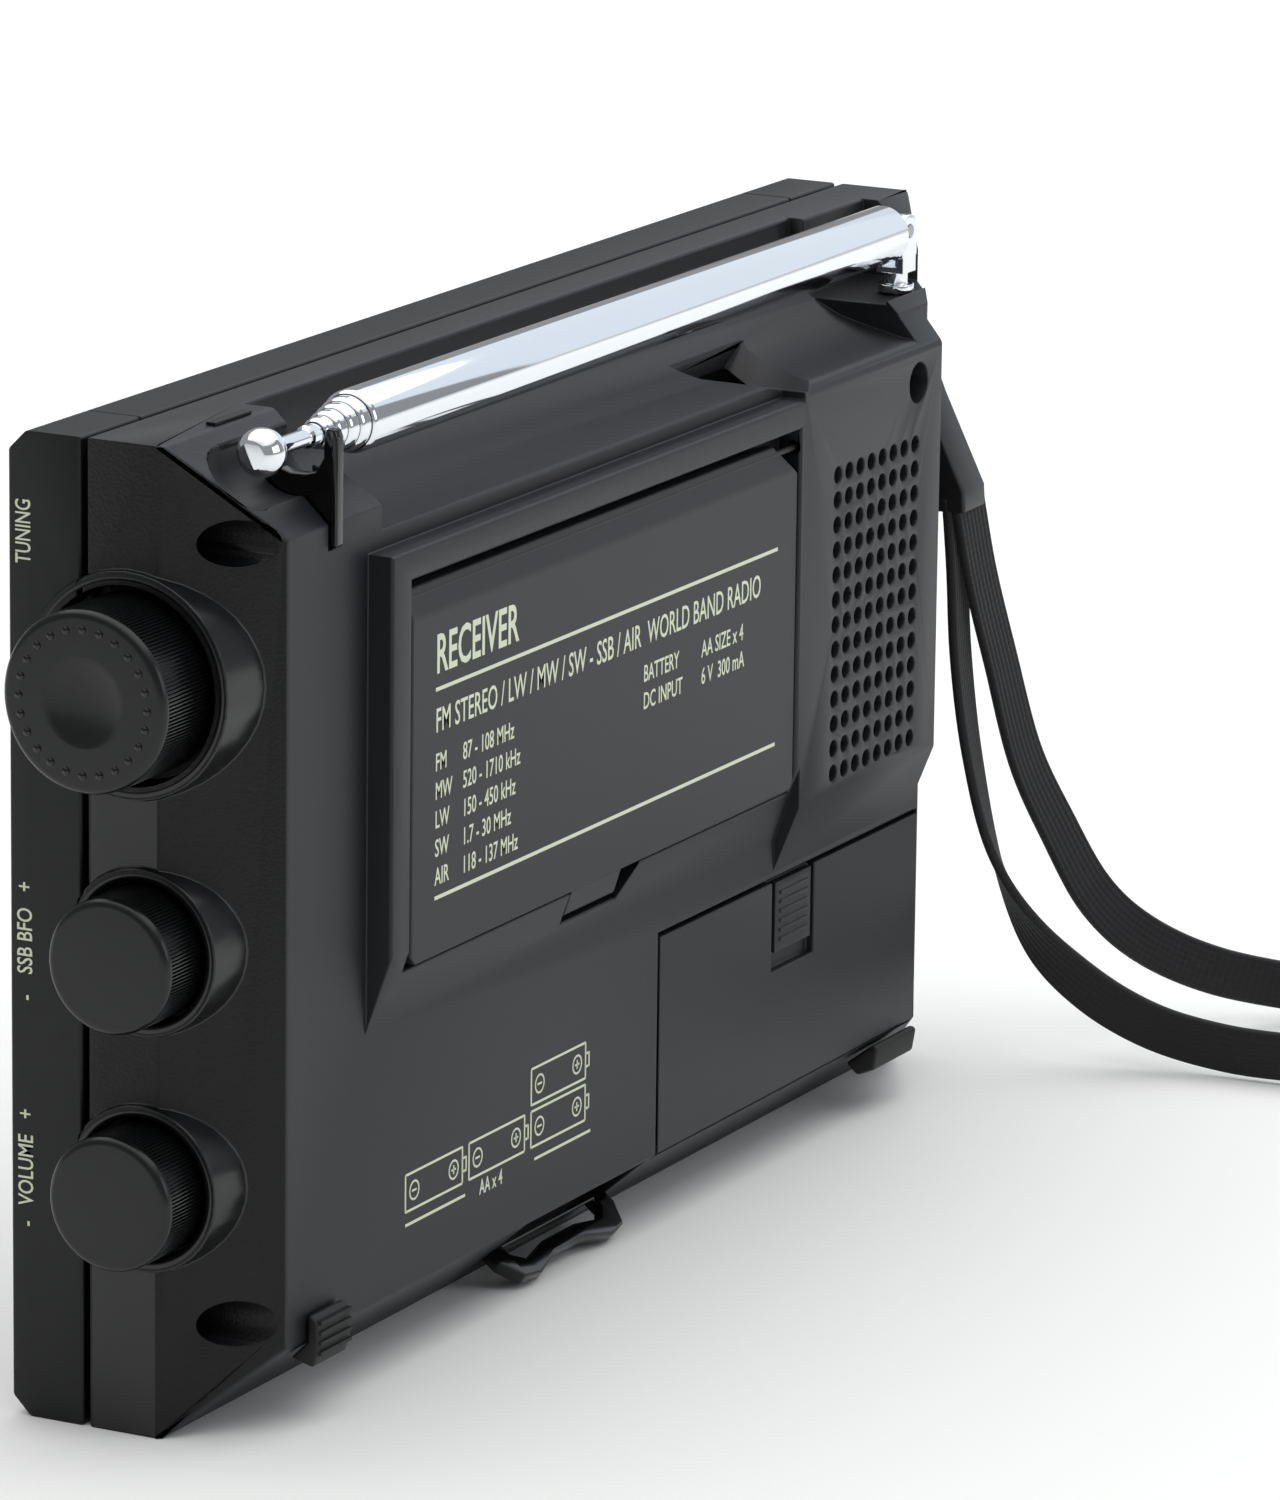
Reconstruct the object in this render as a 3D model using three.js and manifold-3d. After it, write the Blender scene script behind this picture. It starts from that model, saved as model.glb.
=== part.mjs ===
// A portable world-band radio receiver, as an assembly of its separate pieces.
// Millimetres, +Z up. The front looks to -Y, the back to +Y, and the knobs are on the +X side.
// Z = 0 is the table that the receiver stands on, and X = 0 is the middle of the case.
import * as THREE from "three";
import { mergeVertices } from "three/addons/utils/BufferGeometryUtils.js";
import Module from "manifold-3d";

const wasm = await Module();
wasm.setup();

// Case
const HALF_W = 93.5;
const HEIGHT = 114;
const FRONT_Y = -16.5;
const SEAM_Y = -6.75;
const SEAM = 0.35;
const BACK_Y = 14.5;
const STAND_Y = 17.8;
const WALL = 2.2;
const KNOB_SIDE_BACK_X = 85.3;
const FAR_SIDE_BACK_X = -76.5;
const LOW_EDGE_Z = 10;
const HIGH_EDGE_Z = 103.2;
const CHEEK_X = 80.6;

// Controls on the knob side
const TUNING = { y: -0.9, z: 86.7, r: 10.4, face: 103.5, collar: 13, well: 11.3 };
const BFO = { y: 0.9, z: 56.5, r: 7.8, face: 101.5, collar: 9.65, well: 8.5 };
const VOLUME = { y: 0.9, z: 29.2, r: 7.8, face: 101.5, collar: 9.65, well: 8.5 };
const COLLAR_X = 94.3;
const COLLAR_FLARE = 0.05;
const WELL_X = 90.6;
const SHAFT_R = 3;

// Antenna
const AERIAL_Y = 10.2;
const AERIAL_Z = 112.3;
const POST_X = -75.9;
const TUBE_RADII = [3.65, 3.15, 2.7, 2.25, 1.8];
const TUBE_WALL = 0.35;
const TUBE_END_X = 64.5;
const TUBE_STEP_X = 1.9;
const TIP_X = 83.6;
const CLIP_X = 75;

// Kickstand
const STAND_X = [-34.3, 62.5];
const STAND_Z = [49.6, 93.5];
const STAND_HINGE = { y: 16.6, z: 92.4 };

// Battery door
const DOOR_X = [-76.2, -5.3];
const DOOR_Z = [9.95, 37.1];
const DOOR_HINGE = { y: 13.4, z: 10.9 };
const CELL_R = 7.1;
const CELL_L = 50.2;

// Strap, as the round core of its webbing
const STRAP_R = 0.75;

// ---- helpers ----

function manifold(geometry) {
  const g = geometry.clone();
  g.deleteAttribute("uv");
  g.deleteAttribute("normal");
  const m = mergeVertices(g, 1e-4);
  const points = new Float32Array(m.attributes.position.array);
  const faces = new Uint32Array(m.index.array);
  return new wasm.Manifold(new wasm.Mesh({ numProp: 3, vertProperties: points, triVerts: faces }));
}

function box(x0, x1, y0, y1, z0, z1) {
  const g = new THREE.BoxGeometry(x1 - x0, y1 - y0, z1 - z0);
  g.translate((x0 + x1) / 2, (y0 + y1) / 2, (z0 + z1) / 2);
  return manifold(g);
}

function extruded(points, depth) {
  const shape = new THREE.Shape(points.map((p) => new THREE.Vector2(p[0], p[1])));
  return new THREE.ExtrudeGeometry(shape, { depth, bevelEnabled: false, curveSegments: 8 });
}

// points are [y, z]
function prismX(points, x0, x1) {
  const g = extruded(points, x1 - x0);
  const turn = new THREE.Matrix4().makeBasis(
    new THREE.Vector3(0, 1, 0), new THREE.Vector3(0, 0, 1), new THREE.Vector3(1, 0, 0));
  g.applyMatrix4(turn);
  g.translate(x0, 0, 0);
  return manifold(g);
}

// points are [x, z]
function prismY(points, y0, y1) {
  const g = extruded(points.map((p) => [p[1], p[0]]), y1 - y0);
  const turn = new THREE.Matrix4().makeBasis(
    new THREE.Vector3(0, 0, 1), new THREE.Vector3(1, 0, 0), new THREE.Vector3(0, 1, 0));
  g.applyMatrix4(turn);
  g.translate(0, y0, 0);
  return manifold(g);
}

// points are [x, y]
function prismZ(points, z0, z1) {
  const g = extruded(points, z1 - z0);
  g.translate(0, 0, z0);
  return manifold(g);
}

function rodX(x0, x1, y, z, r0, r1 = r0, sides = 32) {
  const g = new THREE.CylinderGeometry(r0, r1, x1 - x0, sides);
  g.rotateZ(Math.PI / 2);
  g.translate((x0 + x1) / 2, y, z);
  return manifold(g);
}

function rodY(y0, y1, x, z, r, sides = 24) {
  const g = new THREE.CylinderGeometry(r, r, y1 - y0, sides);
  g.translate(x, (y0 + y1) / 2, z);
  return manifold(g);
}

function rodZ(z0, z1, x, y, r, sides = 24) {
  const g = new THREE.CylinderGeometry(r, r, z1 - z0, sides);
  g.rotateX(Math.PI / 2);
  g.translate(x, y, (z0 + z1) / 2);
  return manifold(g);
}

// Corner points of a rectangle with round corners.
function roundRect(x0, x1, z0, z1, r, steps = 3) {
  const out = [];
  const corners = [[x1 - r, z1 - r, 0], [x0 + r, z1 - r, 1], [x0 + r, z0 + r, 2], [x1 - r, z0 + r, 3]];
  for (const [cx, cz, quarter] of corners) {
    for (let i = 0; i <= steps; i++) {
      const a = (quarter + i / steps) * Math.PI / 2;
      out.push([cx + r * Math.cos(a), cz + r * Math.sin(a)]);
    }
  }
  return out;
}

function join(list) {
  return list.reduce((a, b) => a.add(b));
}

function cut(body, list) {
  return list.reduce((a, b) => a.subtract(b), body);
}

const group = new THREE.Group();

function piece(name, body, color, roughness = 0.6, metalness = 0) {
  const mesh = body.getMesh();
  const g = new THREE.BufferGeometry();
  g.setAttribute("position", new THREE.BufferAttribute(new Float32Array(mesh.vertProperties), 3));
  g.setIndex(new THREE.BufferAttribute(new Uint32Array(mesh.triVerts), 1));
  g.computeVertexNormals();
  const material = new THREE.MeshStandardMaterial({ color, roughness, metalness, flatShading: true });
  const made = new THREE.Mesh(g, material);
  made.name = name;
  group.add(made);
}

const CASE = 0x2b2c30;
const DARK = 0x141416;
const CHROME = 0xd8dadd;
const STEEL = 0xa8abb0;
const BOARD = 0x1f5a3a;

// ---- case ----

// The back's outside or, moved in by t, its inside: side, top and bottom edges are broad bevels.
function backBlock(t) {
  const xs = HALF_W - t;
  const across = prismZ([
    [-xs, SEAM_Y + SEAM], [xs, SEAM_Y + SEAM], [xs, 2.8 - t * 0.4],
    [KNOB_SIDE_BACK_X - t * 0.4, BACK_Y - t], [FAR_SIDE_BACK_X + t * 0.6, BACK_Y - t], [-xs, 3.3 - t * 0.4],
  ], 0, HEIGHT);
  const along = prismX([
    [SEAM_Y + SEAM, 0], [3, 0], [BACK_Y, LOW_EDGE_Z], [BACK_Y, HIGH_EDGE_Z], [3, HEIGHT], [SEAM_Y + SEAM, HEIGHT],
  ], -HALF_W, HALF_W);
  return across.intersect(along);
}

function collars(x0) {
  const flare = (COLLAR_X - x0) * COLLAR_FLARE;
  return join([TUNING, BFO, VOLUME].map((k) => rodX(x0, COLLAR_X, k.y, k.z, k.collar + flare, k.collar, 40)));
}

function collarHollows() {
  return [TUNING, BFO, VOLUME].flatMap((k) => [
    rodX(WELL_X, COLLAR_X + 1, k.y, k.z, k.well, k.well, 40),
    rodX(86, 92, k.y, k.z, 5, 5, 24),
  ]);
}

function frontRing() {
  const outside = prismX([
    [-14.1, 0], [FRONT_Y, 2.4], [FRONT_Y, HEIGHT - 2.4], [-14.1, HEIGHT],
    [SEAM_Y - SEAM, HEIGHT], [SEAM_Y - SEAM, 0],
  ], -HALF_W, HALF_W);
  const inside = box(-HALF_W + WALL, HALF_W - WALL, FRONT_Y + WALL, 0, WALL, HEIGHT - WALL);
  const bosses = collars(88.5).intersect(box(80, 100, FRONT_Y + 1, SEAM_Y - SEAM, 1, HEIGHT - 1));
  return cut(outside.subtract(inside).add(bosses), collarHollows());
}

const WINDOW = roundRect(1, 77, 73, 105, 3);
const SPEAKER = { x: -46, z: 60, r: 35 };
const PAD_X = [6, 20.5, 35];
const PAD_Z = [22, 33, 44, 55];
const KEY_SPOTS = [
  ["power_key", 56.5, 56], ["light_key", 71.5, 56], ["band_key", 56.5, 42], ["page_key", 71.5, 42],
  ["store_key", 56.5, 28],
];

function buildFront() {
  const ring = frontRing();
  const middle = ring.intersect(box(-CHEEK_X + 0.15, CHEEK_X - 0.15, -30, 30, -1, HEIGHT + 1));
  const holes = [
    prismY(WINDOW, -20, -10),
    rodY(-20, -10, SPEAKER.x, SPEAKER.z, SPEAKER.r, 40),
    ...KEY_SPOTS.map(([, x, z]) => prismY(roundRect(x - 6.35, x + 6.35, z - 3.85, z + 3.85, 1.8), -20, -10)),
  ];
  for (const x of PAD_X) {
    for (const z of PAD_Z) {
      holes.push(prismY(roundRect(x - 5.3, x + 5.3, z - 3.6, z + 3.6, 1.8), -20, -10));
    }
  }
  const front = cut(middle, holes);
  piece("front_panel", front, CASE, 0.55);
  const right = ring.intersect(box(CHEEK_X + 0.15, 99, -30, 30, -1, HEIGHT + 1));
  piece("front_cheek_right", right, 0x303136, 0.65);
  const left = ring.intersect(box(-99, -CHEEK_X - 0.15, -30, 30, -1, HEIGHT + 1));
  const sockets = [
    rodX(-95, -88, -10.4, 62, 3.2),
    rodX(-95, -88, -10.4, 47, 3.4),
    box(-95, -88, -12.2, -8.6, 72, 82),
  ];
  piece("front_cheek_left", cut(left, sockets), 0x303136, 0.65);
}

function channel() {
  const floor = prismX([
    [-1, 130], [-1, 109], [0.5, 106], [3, 103.8], [6.5, 102.2], [10, 101.3], [14.6, 100.3], [25, 99], [25, 130],
  ], -68, 64);
  const slantedEnd = prismX([
    [-1, 130], [-1, 109], [3, 103.8], [14.6, 100.3], [25, 99], [25, 130],
  ], 60, 68.5).subtract(prismZ([[72, 4], [68.4, 7], [63, 15], [58, 25], [72, 25]], 90, 140));
  const ledge = prismX([[1, 130], [1, 104.2], [12.7, 104.2], [12.7, 130]], -85, -67.9);
  const wellEnd = new THREE.SphereGeometry(5.6, 28, 16);
  wellEnd.translate(84.4, AERIAL_Y, 111.6);
  const tipWell = rodX(68, 84.4, AERIAL_Y, 111.6, 5.5, 5.5, 28).add(manifold(wellEnd));
  const scoop = prismY([[-46, 107], [-22, 107], [-25.5, 101.6], [-36.5, 99], [-43.5, 102.8]], 5, 30);
  const neckWay = rodX(60, 70, AERIAL_Y, AERIAL_Z, 5).add(box(60, 70, 5.2, 25, AERIAL_Z, 130));
  const clipSeat = box(CLIP_X - 1.2, CLIP_X + 1.2, 4.9, 25, 100.3, 130);
  return [floor, slantedEnd, ledge, tipWell, scoop, neckWay, clipSeat];
}

function buildBack() {
  const stand = prismX([[12, 42.5], [BACK_Y, 42.5], [STAND_Y, 52], [STAND_Y, 98.2], [12, 98.2]], -36, 67.3);
  const grille = prismX([[12, 38.6], [BACK_Y, 38.6], [STAND_Y, 47], [STAND_Y, 99], [BACK_Y, 103], [12, 103]],
    -74.2, -35.6);
  const outside = join([backBlock(0), stand, grille, collars(83).intersect(box(80, 100, SEAM_Y + SEAM, 20, 1, 113))]);
  const hollow = prismX([
    [-9, WALL], [-1.5, WALL], [5, 8.4], [9.5, 10.2], [12.3, 10.2], [12.3, 98], [8.5, 99.2], [2, 101.2],
    [-3.4, 106.4], [-3.4, HEIGHT - WALL], [-9, HEIGHT - WALL],
  ], -HALF_W, HALF_W).intersect(backBlock(WALL).add(box(-91.3, 91.3, -8, -5, 0, HEIGHT)));
  const bosses = join([TUNING, BFO, VOLUME].map((k) => rodX(88.5, 93, k.y, k.z, k.collar, k.collar, 40)))
    .intersect(backBlock(0.8));
  const posts = join([
    rodY(-5, 11.5, 88.4, 102.9, 4).intersect(backBlock(0.8)),
    rodY(-5, 11.5, 88.4, 13.3, 4).intersect(backBlock(0.8)),
    rodY(-5, 15.5, -67.4, 94.9, 4),
    box(-86, -71, 4, 14, 96.4, 104).intersect(backBlock(0.8)),
  ]);
  const screwHoles = [
    rodY(-4.2, 30, 88.4, 102.9, 2.65), rodY(-4.2, 30, 88.4, 13.3, 2.65), rodY(2, 30, -67.4, 94.9, 2.6),
    rodY(-7, 30, 88.4, 102.9, 1.3), rodY(-7, 30, 88.4, 13.3, 1.3), rodY(-7, 30, -67.4, 94.9, 1.3),
  ];
  const standPocket = [
    box(STAND_X[0] - 0.4, STAND_X[1] + 0.4, BACK_Y + 0.05, 25, STAND_Z[0] - 0.4, 94.7),
    prismY([[22.4, 45.3], [8.2, 45.3], [4.4, 49.4], [4.4, 50.6], [22.4, 50.6]], 13.4, 25),
    rodX(STAND_X[0] - 2.3, STAND_X[1] + 2.3, STAND_HINGE.y, STAND_HINGE.z, 0.86, 0.86, 24),
  ];
  const doorHole = [
    box(DOOR_X[0] - 0.3, DOOR_X[1] + 0.3, 5, 25, DOOR_Z[0] + 1.4, DOOR_Z[1] + 0.3),
    box(DOOR_X[0] - 0.3, DOOR_X[1] + 0.5, 12.2, 25, DOOR_Z[0] - 0.25, DOOR_Z[1] + 0.5),
    rodX(DOOR_X[0] - 0.3, DOOR_X[1] + 0.3, DOOR_HINGE.y, DOOR_HINGE.z, 1.75, 1.75, 24),
    rodX(DOOR_X[0] - 1.2, DOOR_X[1] + 1.2, DOOR_HINGE.y, DOOR_HINGE.z, 0.86, 0.86, 24),
  ];
  const bailSlot = bailPlate(-3.6, 26.6, -1.9, 7.6, -6, 1.45, 41);
  const bailHoles = rodX(-4.9, 27.9, 7, 4.9, 0.6, 0.6, 16);
  const vents = [];
  for (let col = 0; col < 8; col++) {
    for (let row = 0; row < 13; row++) {
      const x = -45 - col * 3.1;
      const z = 49.4 + row * 3.15;
      vents.push(box(x - 0.6, x + 0.6, 8, 25, z - 0.85, z + 0.85));
    }
  }
  const strapSlot = box(-96, -85, 2.4, 8.4, 84.2, 93);
  const shaftWay = rodZ(98.8, 110, POST_X, AERIAL_Y, 1.62);
  const shell = cut(outside, [hollow, ...channel()]).add(bosses.subtract(box(0, 91, -9, 14, 97, 120))).add(
    cut(posts, channel()));
  const done = cut(shell, [
    ...collarHollows(), ...screwHoles, ...standPocket, ...doorHole, bailSlot, bailHoles,
    join(vents), strapSlot, shaftWay, box(-100, 100, -20, SEAM_Y + SEAM, -5, 120),
  ]);
  piece("back_shell", done, CASE, 0.6);
  piece("groove_inlay", prismX([[1.5, 114.02], [2.8, 114.02], [2.8, 114.4], [1.5, 114.4]], 73, 81), DARK, 0.5);
}

// A flat plate on the bail's hinge axis: x along the hinge, s outward, thick about the hinge plane.
function bailPlate(x0, x1, s0, s1, t0, t1, degrees) {
  const g = new THREE.BoxGeometry(x1 - x0, s1 - s0, t1 - t0);
  g.translate((x0 + x1) / 2, (s0 + s1) / 2, (t0 + t1) / 2);
  g.rotateX(degrees * Math.PI / 180);
  g.translate(0, 7, 4.9);
  return manifold(g);
}

function buildFeetAndBail() {
  const frame = prismZ([
    [-3, -0.9], [26, -0.9], [26, 3], [24, 5.9], [20.5, 6.4], [15, 4.9], [8, 4.9], [2.5, 6.4], [-1, 5.9], [-3, 3],
  ], -0.9, 0.9);
  const window = prismZ([[0, 1.4], [23, 1.4], [23, 2.6], [21, 3.9], [15.5, 2.9], [7.5, 2.9], [2, 3.9], [0, 2.6]],
    -2, 2);
  const flat = frame.subtract(window);
  const stubs = rodX(-4.4, 27.4, 0, 0, 0.55, 0.55, 16).subtract(box(-2, 25, -2, 2, -2, 2));
  piece("fold_out_bail", flat.add(stubs).rotate([-37, 0, 0]).translate([0, 7, 4.9]), DARK, 0.5);
  const near = prismX([[12.6, 7.7], [15.5, 6.9], [16.2, 8.8], [16.2, 12], [15.4, 13], [14.8, 13], [14.8, 9.9]],
    73.4, 81);
  piece("rear_foot_near", near, DARK, 0.9);
  const far = prismX([[11.2, 6.6], [12.8, 5.2], [15.2, 6.2], [15.7, 9.2], [14.9, 9.5]], -75, -63.5);
  piece("rear_foot_far", far, DARK, 0.9);
}

// ---- controls ----

function knob(name, shaftName, k, dimple) {
  const skirt = rodX(WELL_X + 0.4, k.face - 0.9, k.y, k.z, k.r, k.r, 40);
  const rim = rodX(k.face - 0.9, k.face, k.y, k.z, k.r, k.r, 40)
    .intersect(rodX(k.face - 0.9, k.face, k.y, k.z, k.r - 0.9, k.r, 48));
  const hollow = rodX(WELL_X, k.face - 4, k.y, k.z, SHAFT_R + 0.05, SHAFT_R + 0.05, 32);
  const under = rodX(WELL_X, WELL_X + 1.6, k.y, k.z, k.r - 2, k.r - 2, 32);
  const cuts = [hollow, under];
  if (dimple) {
    cuts.push(rodX(k.face - 0.8, k.face + 1, k.y, k.z, 5.2, 4.2, 32));
  }
  let body = cut(skirt.add(rim), cuts);
  if (dimple) {
    for (let i = 0; i < 24; i++) {
      const a = i / 24 * 2 * Math.PI;
      const bead = rodX(k.face - 0.3, k.face + 0.35, k.y + 8.2 * Math.cos(a), k.z + 8.2 * Math.sin(a), 0.6, 0.4, 5);
      body = body.add(bead);
    }
  }
  piece(name, body, 0x24252a, 0.45);
  piece(shaftName, rodX(80.2, k.face - 4.1, k.y, k.z, SHAFT_R, SHAFT_R, 32), STEEL, 0.35, 1);
}

function control(name, k, size, color) {
  const can = box(76, 85.5, k.y - size / 2, k.y + size / 2, k.z - size / 2, k.z + size / 2);
  const bush = rodX(85, 90.9, k.y, k.z, 4.4, 4.4, 24);
  const bore = rodX(80, 92, k.y, k.z, SHAFT_R + 0.06, SHAFT_R + 0.06, 32);
  piece(name, can.add(bush).subtract(bore), color, 0.4, 1);
}

function buildControls() {
  knob("tuning_knob", "tuning_shaft", TUNING, true);
  knob("bfo_knob", "bfo_shaft", BFO, false);
  knob("volume_knob", "volume_shaft", VOLUME, false);
  control("tuning_encoder", TUNING, 12, STEEL);
  control("bfo_pot", BFO, 8.4, STEEL);
  control("volume_pot", VOLUME, 8.4, STEEL);
}

// ---- kickstand and battery door ----

function buildKickstand() {
  const [x0, x1] = STAND_X;
  const [z0, z1] = STAND_Z;
  const outline = [
    [x0, z0 + 1.2], [x0 + 1.2, z0], [x1 - 1.2, z0], [x1, z0 + 1.2], [x1, z1], [x0 + 5.3, z1], [x0, z1 - 4.2],
  ];
  const plate = prismY(outline, 15.1, 17.6);
  const tab = prismX([[15.1, 51], [14.3, 46], [15.5, 46], [16.7, 49.6], [16.7, 51]], 9, 21.6);
  const body = cut(plate.add(tab), [
    rodX(x0 - 1, x1 + 1, STAND_HINGE.y, STAND_HINGE.z, 0.86, 0.86, 24),
    box(x0 + 4, x1 - 4, 14, 16.2, z0 + 4, z1 - 5),
  ]);
  piece("kickstand", body, CASE, 0.6);
  piece("kickstand_pin", rodX(x0 - 2, x1 + 2, STAND_HINGE.y, STAND_HINGE.z, 0.8, 0.8, 24), STEEL, 0.3, 1);
}

function buildBattery() {
  const [x0, x1] = DOOR_X;
  const [z0, z1] = DOOR_Z;
  const plate = box(x0, x1, 12.5, BACK_Y, z0, z1);
  const trimmed = plate.intersect(prismZ([[x0, 5], [x1, 5], [x1, 20], [x0 - 0.5, 20], [x0, 14.4]], 0, 60));
  const stubs = rodX(x0 - 1, x1 + 1, DOOR_HINGE.y, DOOR_HINGE.z, 0.8, 0.8, 24);
  const track = cut(trimmed.add(stubs), [box(-47, -35.4, 13.4, 16, 25.6, 38)]);
  piece("battery_door", track, CASE, 0.6);
  const pad = box(-46.1, -36.3, 13.5, 14.45, 27.9, 36.9);
  let latch = pad;
  for (let i = 0; i < 6; i++) {
    latch = latch.add(box(-45, -37.4, 14.4, 14.7, 29.2 + i * 1.2, 29.7 + i * 1.2));
  }
  piece("door_latch", latch, CASE, 0.7);
  cell("cell_1", 28.7, 17.6);
  cell("cell_2", -22.1, 17.6);
  cell("cell_3", -72.9, 17.6);
  cell("cell_4", -72.9, 32.1);
  piece("battery_contact_near", box(80.2, 80.7, -1.5, 10.6, 11.5, 24), STEEL, 0.3, 1);
  piece("battery_contact_far", box(-74.5, -74, -1.5, 10.4, 11.5, 38.5), STEEL, 0.3, 1);
  piece("battery_contact_upper", box(-21.9, -21.4, -1.5, 10.6, 26, 38.5), STEEL, 0.3, 1);
}

function cell(name, x, z) {
  const can = rodX(x, x + CELL_L - 1.6, 4.7, z, CELL_R, CELL_R, 24);
  const nub = rodX(x + CELL_L - 1.7, x + CELL_L, 4.7, z, 2.7, 2.7, 12);
  piece(name, can.add(nub), 0x6b7078, 0.4);
}

// ---- antenna ----

function buildAntenna() {
  const post = join([
    rodZ(99, 107.4, POST_X, AERIAL_Y, 1.5),
    rodZ(104.5, 105.5, POST_X, AERIAL_Y, 2.3),
    box(POST_X - 1.8, POST_X + 1.8, AERIAL_Y - 1.9, AERIAL_Y + 1.9, 107, 109.2),
    rodY(AERIAL_Y - 1.9, AERIAL_Y + 1.9, POST_X, AERIAL_Z, 2.1),
    box(POST_X - 2, POST_X + 2, AERIAL_Y - 1.9, AERIAL_Y + 1.9, 109, AERIAL_Z),
  ]);
  const slot = box(POST_X - 4, POST_X + 4, AERIAL_Y - 0.95, AERIAL_Y + 0.95, 107.8, 116);
  const pinHole = rodY(0, 20, POST_X, AERIAL_Z, 0.86);
  piece("antenna_post", cut(post, [slot, pinHole]), CHROME, 0.12, 1);
  piece("antenna_pin", rodY(AERIAL_Y - 2.05, AERIAL_Y + 2.05, POST_X, AERIAL_Z, 0.8), STEEL, 0.3, 1);
  const tongue = join([
    rodY(AERIAL_Y - 0.85, AERIAL_Y + 0.85, POST_X, AERIAL_Z, 2.1),
    box(POST_X, POST_X + 6, AERIAL_Y - 0.85, AERIAL_Y + 0.85, AERIAL_Z - 2.1, AERIAL_Z + 2.1),
  ]).subtract(pinHole);
  const plug = rodX(POST_X + 3.4, POST_X + 8, AERIAL_Y, AERIAL_Z, TUBE_RADII[0], TUBE_RADII[0], 24);
  const last = TUBE_RADII.length;
  for (let i = 0; i < last; i++) {
    const start = POST_X + 7 + i * 1.5;
    const end = TUBE_END_X + i * TUBE_STEP_X;
    const outer = rodX(start, end, AERIAL_Y, AERIAL_Z, TUBE_RADII[i], TUBE_RADII[i], 24);
    const inner = TUBE_RADII[i] - TUBE_WALL;
    const bore = rodX(start + 0.8, end + 1, AERIAL_Y, AERIAL_Z, inner, inner, 24);
    if (i === 0) {
      piece("antenna_tube", join([tongue, plug, outer]).subtract(bore), CHROME, 0.12, 1);
    } else {
      piece(`antenna_section_${i + 1}`, outer.subtract(bore), CHROME, 0.12, 1);
    }
  }
  const rodStart = POST_X + 7 + last * 1.5;
  const rod = rodX(rodStart, TUBE_END_X + last * TUBE_STEP_X, AERIAL_Y, AERIAL_Z, 1.35, 1.35, 24)
    .add(rodX(TUBE_END_X + 8, TIP_X - 2.3, AERIAL_Y, AERIAL_Z, 1, 1, 24));
  piece("antenna_rod", rod, CHROME, 0.12, 1);
  const ball = new THREE.SphereGeometry(2.8, 20, 12);
  ball.translate(TIP_X, AERIAL_Y, AERIAL_Z);
  const tip = cut(manifold(ball), [box(TIP_X + 2.3, 99, 0, 20, 100, 120), box(60, TIP_X - 2.2, 0, 20, 100, 120)]);
  piece("antenna_tip", tip, CHROME, 0.12, 1);
  const clip = prismX([
    [6.4, 100.6], [15.3, 100.6], [15.3, 113], [14.9, 114], [13.9, 114], [13.5, 113], [13.5, 110.6],
    [12.6, 109], [11.2, 108.6], [9.4, 108.6], [8, 109], [7.4, 110.4], [6.4, 110.4],
  ], CLIP_X - 0.8, CLIP_X + 0.8);
  piece("antenna_clip", clip, DARK, 0.4);
}

// ---- inside and front ----

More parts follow.
